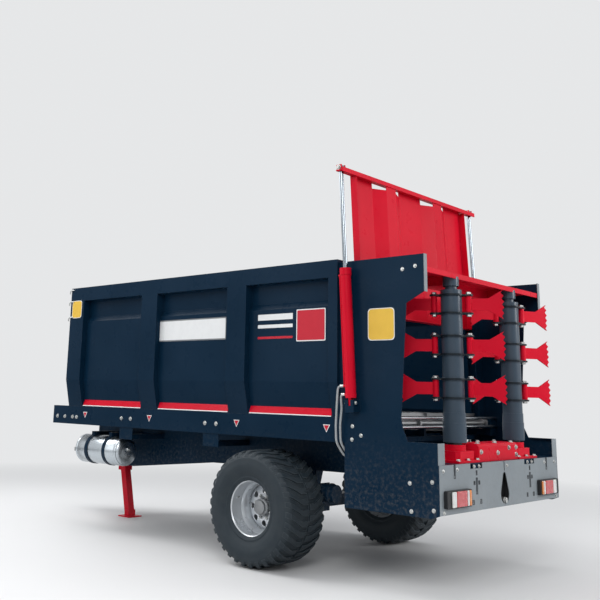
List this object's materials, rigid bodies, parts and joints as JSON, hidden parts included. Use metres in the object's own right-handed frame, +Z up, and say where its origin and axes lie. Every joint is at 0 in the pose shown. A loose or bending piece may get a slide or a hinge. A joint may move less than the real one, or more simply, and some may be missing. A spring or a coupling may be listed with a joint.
{
  "type": "fertilizer spreader",
  "caption": "Trailed single-axle manure spreader with a deep ribbed load body, a raised hydraulic rear gate, vertical paddle beaters and a front jack stand.",
  "frame": {"origin": "middle of the whole machine in plan, on the ground it stands on", "axes": "+X forward to the towing eye, +Y to the machine left side, +Z up"},
  "size_m": [5.927, 2.42, 3.3025],
  "materials": {
    "dark_paint": "satin navy black paint",
    "red_paint": "gloss red paint",
    "grey_plate": "satin grey paint",
    "column_grey": "satin slate paint",
    "bare_steel": "worn bright steel",
    "chrome_rod": "hard chrome",
    "polished_steel": "polished",
    "rim_silver": "silver paint",
    "hub_grey": "painted casting",
    "tyre_rubber": "black rubber",
    "hose_rubber": "ribbed grey rubber",
    "lamp_lens": "moulded lens"
  },
  "bodies": {
    "chassis": {"air_tank": "polished_steel", "axle_beam": "dark_paint", "beater_gearboxes": "red_paint", "brake_gear": "dark_paint", "chassis_rails": "dark_paint", "cheek_plate_left": "dark_paint", "cheek_plate_right": "dark_paint", "cross_members": "dark_paint", "cylinder_hoses": "hose_rubber", "drawbar": "dark_paint", "drive_housing": "red_paint", "floor_chains": "bare_steel", "floor_shafts": "bare_steel", "front_wall": "dark_paint", "gate_guides": "dark_paint", "jack_bracket": "red_paint", "ledge_strips": "red_paint", "lift_cylinders": "red_paint", "load_floor": "dark_paint", "rear_deck": "dark_paint", "rear_gearbox": "dark_paint", "rear_plate": "grey_plate", "side_frame_left": "dark_paint", "side_frame_right": "dark_paint", "side_panel_left": "dark_paint", "side_panel_right": "dark_paint", "sill_brackets": "dark_paint", "sills": "dark_paint", "tail_lamps": "lamp_lens", "tank_straps": "dark_paint", "top_beam": "red_paint", "towing_eye": "bare_steel"},
    "wheel_left": {"tyre_left": "tyre_rubber", "wheel_rim_left": "rim_silver", "wheel_hub_left": "hub_grey"},
    "wheel_right": {"tyre_right": "tyre_rubber", "wheel_rim_right": "rim_silver", "wheel_hub_right": "hub_grey"},
    "beater_left": {"beater_column_left": "column_grey", "beater_paddles_left": "red_paint"},
    "beater_right": {"beater_column_right": "column_grey", "beater_paddles_right": "red_paint"},
    "gate": {"gate_panel": "red_paint", "gate_top_bar": "red_paint", "gate_rods": "chrome_rod"},
    "jack": {"jack_leg": "red_paint"},
    "drive": {"drive_shaft": "bare_steel"}
  },
  "joints": [
    {"name": "wheel_left_spin", "type": "hinge", "parent": "chassis", "child": "wheel_left", "pos_m": [-1.05651, 0.96, 0.4725], "axis": [0, 1, 0], "continuous": true},
    {"name": "wheel_right_spin", "type": "hinge", "parent": "chassis", "child": "wheel_right", "pos_m": [-1.05651, -0.96, 0.4725], "axis": [0, 1, 0], "continuous": true},
    {"name": "beater_left_spin", "type": "hinge", "parent": "chassis", "child": "beater_left", "pos_m": [-2.60451, 0.51, 1.5], "axis": [0, 0, 1], "continuous": true},
    {"name": "beater_right_spin", "type": "hinge", "parent": "chassis", "child": "beater_right", "pos_m": [-2.60451, -0.51, 1.5], "axis": [0, 0, 1], "continuous": true},
    {"name": "drive_spin", "type": "hinge", "parent": "chassis", "child": "drive", "pos_m": [-1.05651, 0, 0.85], "axis": [1, 0, 0], "continuous": true},
    {"name": "gate_lift", "type": "slide", "parent": "chassis", "child": "gate", "axis": [0.0523, 0, 0.9986], "range_m": [-0.725, 0]},
    {"name": "jack_swing", "type": "hinge", "parent": "chassis", "child": "jack", "pos_m": [1.98849, 0, 0.552], "axis": [0, -1, 0], "range_deg": [0, 90]}
  ],
  "couplings": [
    {"joint": "beater_right_spin", "follows": "beater_left_spin", "ratio": -1},
    {"joint": "drive_spin", "follows": "beater_left_spin", "ratio": 2.5}
  ]
}
